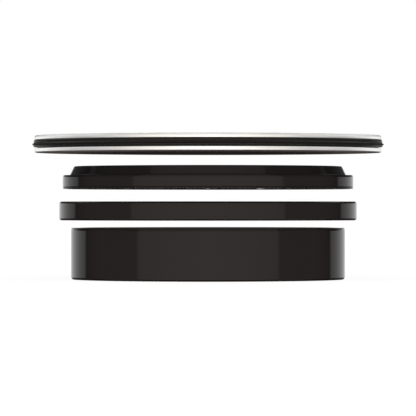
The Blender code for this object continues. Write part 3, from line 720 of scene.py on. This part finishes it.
def makeCover(v):
    past = bench["past"]
    out, base, top = ends("cover_top_plate")
    lip = base - v["rimLip"]
    inside = out - v["lipWidth"]
    dish = top - v["dishDeep"]
    corners = [(0, base), (inside, base, 0.3), (inside + v["lipSlope"], lip, 0.2), (out, lip, 0.25),
               (out, top, v["topRoll"]), (v["dishOut"], top, 0.8), (v["dishIn"], dish, 1.2), (0, dish)]
    lid = turnProfile(corners, toAxis=True)
    lid = place(lid, "topPlate", "cover", "cover_top_plate", plateSteel, "cover_top_plate")

    out, base, top = ends("cover_seal")
    wall = v["sealWall"]
    foot = base - v["sealFoot"]
    corners = [(v["sealIn"], foot, 0.1), (v["footOut"], foot, 0.1), (v["footOut"], base, 0.05),
               (wall, base, 0.12), (wall, base + v["lowWall"], 0.1), (out, base + v["bead"], 0.15),
               (v["wallDip"], base + v["dip"], 0.12), (wall, base + v["highWall"], 0.1),
               (wall, top - v["topBevel"], 0.12), (wall - v["topBevel"], top, 0.1),
               (v["sealIn"], top, 0.2)]
    band = turnProfile(corners)
    band = place(band, "coverSeal", "cover", "cover_seal", sealRubber, "cover_seal")

    out, base, top = ends("cover_bottom_plate")
    panBase = base
    floor = base + v["panFloor"]
    foot = base + v["panFoot"]
    wall = base + v["panWall"]
    recess = v["panRecess"]
    corners = [(0, floor), (recess, floor, 0.25), (recess, foot, 0.04), (out, foot, v["panRoll"]),
               (out, wall, 0.1), (0, wall)]
    pan = turnProfile(corners, toAxis=True)
    pan = cutAway(pan, plugs(v["panHole"], base, top + past, v["screwCircle"], thirds), "bottomPlate")
    pan = place(pan, "bottomPlate", "cover", "cover_bottom_plate", plateSteel, "cover_bottom_plate")

    top = ends("cover_base_pad")[2]
    out = recess - v["padGap"]
    groove = panBase + v["padGroove"]
    corners = [(0, top), (out, top, 0.1), (out, panBase, 0.06)]
    for ring in range(v["padRings"]):
        at = out - v["padBorder"] - ring * v["padPitch"]
        corners += [(at + v["grooveMouth"], panBase, 0.1), (at + v["grooveFloor"], groove, 0.1),
                    (at - v["grooveFloor"], groove, 0.1), (at - v["grooveMouth"], panBase, 0.1)]
    corners.append((0, panBase))
    pad = turnProfile(corners, toAxis=True)
    holes = plugs(v["padHole"], panBase - past, top + past, v["screwCircle"], thirds)
    pad = cutAway(pad, holes, "basePad")
    pad = place(pad, "basePad", "cover", "cover_base_pad", padRubber, "cover_base_pad")
    for hanging in (pad, pan, lid, band):  # kept out of the gloss of the ring below
        hanging.visible_glossy = False


makeCover(cover)

# screws: a turned head with a sunk key, a threaded shank and a pointed tip
screw = {
    "pitch": 0.5, "threadDeep": 0.12, "threadStart": 0.3, "point": 0.9,
    "shank": 1.25, "neckThin": 0.1, "keyFlats": 1.75, "keyDeep": 0.7,
    "headTall": 1.4, "headRound": 0.3, "threadStop": 2.0, "neckTall": 1.9,  # of the guard screws
    "sinkRim": 0.2, "sinkEdge": 0.08, "sinkStop": 0.4,                      # of the clamp screws
    # screws put in from below: shank, head height and key
    "flatHeads": {"retainer": (0.8, 0.4, 1.1), "cover": (1.2, 0.45, 2.0)},
    "flatKeyDeep": 0.28, "flatStop": 0.2, "flatTaper": 0.25,
}


def threaded(radius, low, high, v):  # corners of a thread, going up
    count = max(1, int((high - low) / v["pitch"]))
    step = (high - low) / count
    corners = []
    for turn in range(count):
        at = low + turn * step
        corners += [(radius - v["threadDeep"], at), (radius, at + step * 0.5)]
    return corners


def makeScrew(node, body, name, v):
    reach, base, top = ends(node)
    centre = middle(node)
    past = bench["past"]
    kind = node.split("_")[0]
    if kind in v["flatHeads"]:
        shank, tall, flats = v["flatHeads"][kind]
        under = base + tall
        corners = [(0, base), (reach, base, 0.2), (reach, under, 0.06), (shank, under)]
        corners += threaded(shank, under + v["threadStart"], top - v["flatStop"], v)
        corners += [(shank - v["flatTaper"], top), (0, top)]
        key = sixSided(flats, base - past, base + v["flatKeyDeep"], centre)
    else:
        shank = v["shank"]
        thin = shank - v["neckThin"]
        if kind == "guard":
            neck = top - v["headTall"]
            stop = neck - v["threadStop"]
            head = [(thin, neck - v["neckTall"]), (thin, neck), (reach, neck, 0.12),
                    (reach, top, v["headRound"])]
        else:
            rim = top - v["sinkRim"]
            neck = rim - (reach - shank)
            stop = neck - v["sinkStop"]
            head = [(thin, neck), (reach, rim, v["sinkEdge"]), (reach, top, v["sinkEdge"])]
        corners = [(0, base), (v["point"], base)] + threaded(shank, base + v["threadStart"], stop, v)
        corners += head + [(0, top)]
        key = sixSided(v["keyFlats"], top - v["keyDeep"], top + past, centre)
    turned = turnProfile(corners, bench["smallTurns"], True, centre)
    turned = cutAway(turned, [key], name)
    place(turned, name, body, node, zincPlate, node)


for number in (1, 2, 3):
    makeScrew("clamp_screw_%d" % number, "clamp_ring", "clampScrew%d" % number, screw)
    makeScrew("guard_screw_%d" % number, "guard_screw_%d" % number, "guardScrew%d" % number, screw)
    makeScrew("retainer_screw_%d" % number, "guard_ring", "retainerScrew%d" % number, screw)
    makeScrew("cover_screw_%d" % number, "cover", "coverScrew%d" % number, screw)

# splash baffle: six leaves, each bending at its outer edge
baffle = {
    "leaves": 6, "hinge": 27.5, "tip": 4.0, "cornerCut": 2.2, "slitHalf": 0.25,
    "edge": 0.22, "edgeSteps": 3, "border": 1.0, "panelSlope": 0.22, "rise": 0.3,
}


def makeLeaf(number, v):
    node = "baffle_leaf_%d" % number
    base, top = ends(node)[1:]
    turn = fullTurn * (number - 1) / v["leaves"]
    slope = math.tan(math.pi / v["leaves"])
    hinge = v["hinge"]
    tip = v["tip"]
    shoulder = hinge - v["cornerCut"]
    wide = shoulder * slope - v["slitHalf"]
    narrow = tip * slope - v["slitHalf"]
    outline = [(hinge, -wide), (hinge, wide), (shoulder, wide), (tip, narrow), (tip, -narrow),
               (shoulder, -wide)]
    bm = bmesh.new()
    bm.faces.new([bm.verts.new((x * mm, y * mm, base * mm)) for x, y in outline])
    raiseFaces(bm, top - base)
    outer = bm.edges[:]
    for side in (1, -1):  # a raised panel above, a sunk one below
        flat = [face for face in bm.faces
                if face.normal.z * side > 0 and len(face.verts) == len(outline)]
        steps = ((v["border"], 0.0), (v["panelSlope"], v["rise"] * side), (v["panelSlope"], 0.0))
        for inset, rise in steps:
            bmesh.ops.inset_region(bm, faces=flat, thickness=inset * mm, depth=rise * mm,
                                   use_even_offset=True)
    bmesh.ops.bevel(bm, geom=outer, offset=v["edge"] * mm, offset_type="OFFSET", affect="EDGES",
                    segments=v["edgeSteps"], profile=0.5, material=-1)
    bmesh.ops.rotate(bm, verts=bm.verts, cent=(0, 0, 0), matrix=Matrix.Rotation(turn, 3, "Z"))
    place(bm, "baffleLeaf%d" % number, "leaf_%d" % number, node, baffleRubber, node)


for number in range(1, baffle["leaves"] + 1):
    makeLeaf(number, baffle)

# core puck and magnets
core = {
    "pocket": 4.1, "pocketTop": 1.8, "hole": 1.35, "edge": 0.3, "magnetEdge": 0.25,
}


def makeCore(v):
    past = bench["past"]
    out, base, top = ends("cover_core")
    puck = turnProfile([(0, base), (out, base, v["edge"]), (out, top, v["edge"]), (0, top)], toAxis=True)
    circle = math.hypot(*middle("cover_magnet_1"))
    tools = plugs(v["pocket"], base - past, base + v["pocketTop"], circle, betweenThirds)
    tools += plugs(v["hole"], base - past, top + past, cover["screwCircle"], thirds)
    puck = cutAway(puck, tools, "coverCore")
    place(puck, "coverCore", "cover", "cover_core", blackGloss, "cover_core")
    for number in (1, 2, 3):
        node = "cover_magnet_%d" % number
        reach, low, high = ends(node)
        edge = v["magnetEdge"]
        disc = turnProfile([(0, low), (reach, low, edge), (reach, high, edge), (0, high)],
                           bench["smallTurns"], True, middle(node))
        place(disc, "coverMagnet%d" % number, "cover", node, nickelPlate, node)


makeCore(core)

steelPieces = ("topPlate", "bottomPlate", "throatLiner", "baffleRetainer")
makeRoomLight()
makeSteelPanels([bpy.data.objects[name] for name in steelPieces])
makeFloor()
makeCamera()
bpy.context.scene.view_settings.view_transform = "Standard"
print("room, panels, floor and camera made")

# CAD shapes that show as they are get a finish
nodeFinish = {"liner_snap_ring": linerSteel, "baffle_rim": baffleRubber}
for name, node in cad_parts.items():
    for start, finish in nodeFinish.items():
        if name.startswith(start):
            node.data.materials.clear()
            node.data.materials.append(finish)
